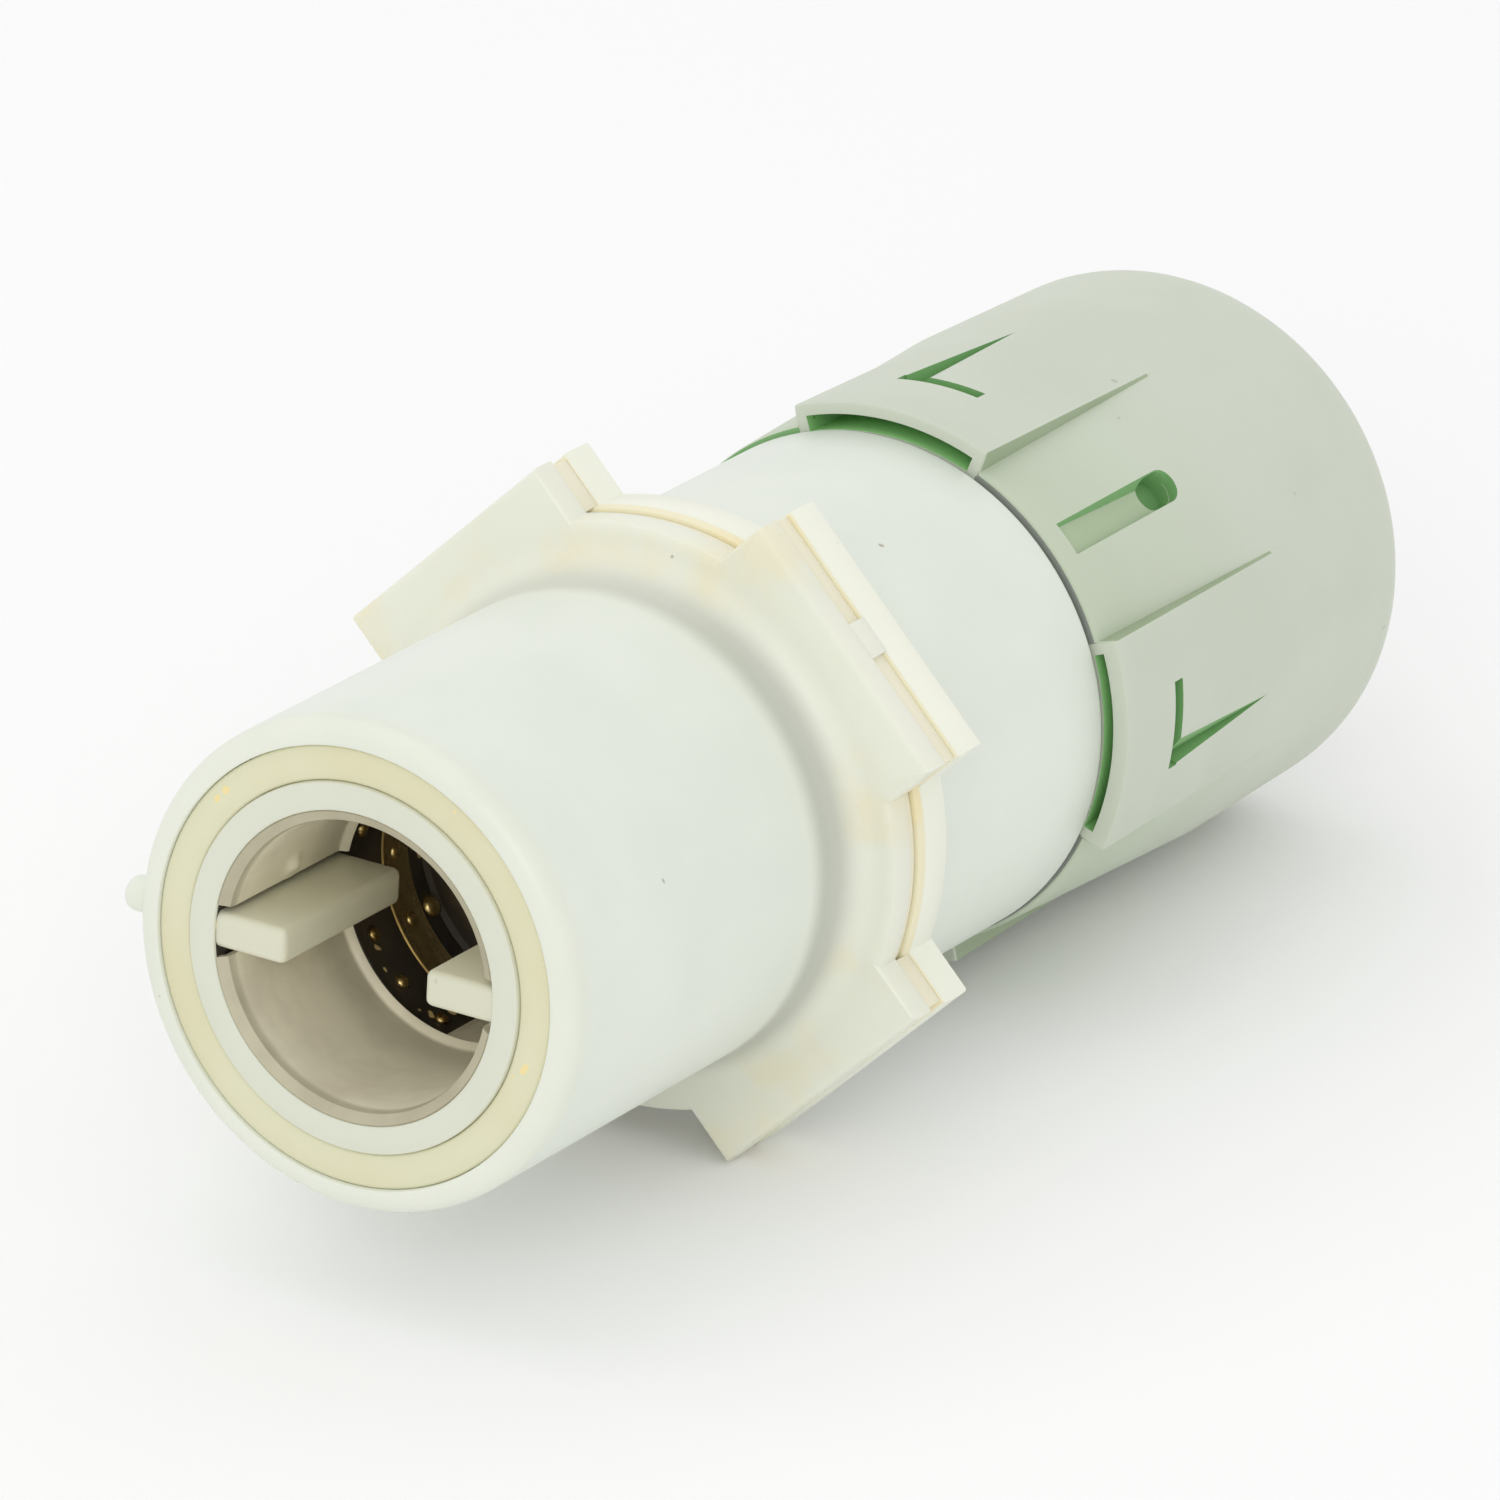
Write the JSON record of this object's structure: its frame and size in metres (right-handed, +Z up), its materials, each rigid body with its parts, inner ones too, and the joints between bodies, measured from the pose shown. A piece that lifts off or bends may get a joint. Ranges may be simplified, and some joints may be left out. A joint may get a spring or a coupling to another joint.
{
  "type": "plug-in signal lampholder",
  "caption": "Plug-in lampholder: round white barrel with a tabbed flange, a ribbed bore with half-shell contacts and a sprung pin, and a fluted grey-green twist cap with a cable entry.",
  "frame": {"origin": "on the axis, in the plane of the flange's front face, where the holder seats in its panel", "axes": "+Y along the axis from the open mouth to the cap, +Z up as it lies in the picture, ribs and side nub along X"},
  "size_m": [0.043, 0.104, 0.043],
  "materials": {
    "white_plastic": "greenish-white moulded plastic, satin",
    "cap_plastic": "grey-green moulded plastic, satin",
    "cream_silicone": "cream silicone, matt",
    "black_rubber": "black rubber, matt",
    "dark_phenolic": "dark brown phenolic",
    "tinned_sheet": "tinned sheet metal, warm grey",
    "brass": "turned brass",
    "spring_steel": "bright spring steel"
  },
  "bodies": {
    "housing": {"front_housing": "white_plastic", "rear_housing": "white_plastic", "flange_gasket": "cream_silicone", "flange_key_1": "white_plastic", "flange_key_2": "white_plastic", "flange_key_3": "white_plastic", "flange_key_4": "white_plastic", "mouth_seal": "cream_silicone", "socket_liner": "white_plastic", "shell_upper": "tinned_sheet", "shell_lower": "tinned_sheet", "contact_base": "dark_phenolic", "plunger_bush": "brass", "plunger_spring": "spring_steel", "terminal_carrier": "dark_phenolic", "terminal_upper": "brass", "terminal_lower": "brass", "retaining_ring": "spring_steel", "cap_seal": "black_rubber"},
    "cap": {"end_cap": "cap_plastic", "cable_grommet": "black_rubber", "clamp_washer": "spring_steel", "cable_collet": "cap_plastic"},
    "plunger": {"plunger": "brass"}
  },
  "joints": [
    {"name": "cap_twist", "type": "hinge", "parent": "housing", "child": "cap", "pos_m": [0, 0.05, 0], "axis": [0, 1, 0], "range_deg": [0, 45]},
    {"name": "plunger_slide", "type": "slide", "parent": "housing", "child": "plunger", "axis": [0, 1, 0], "range_m": [0, 0.003], "stiffness_N_per_m": 300, "deforming": ["plunger_spring"]}
  ]
}
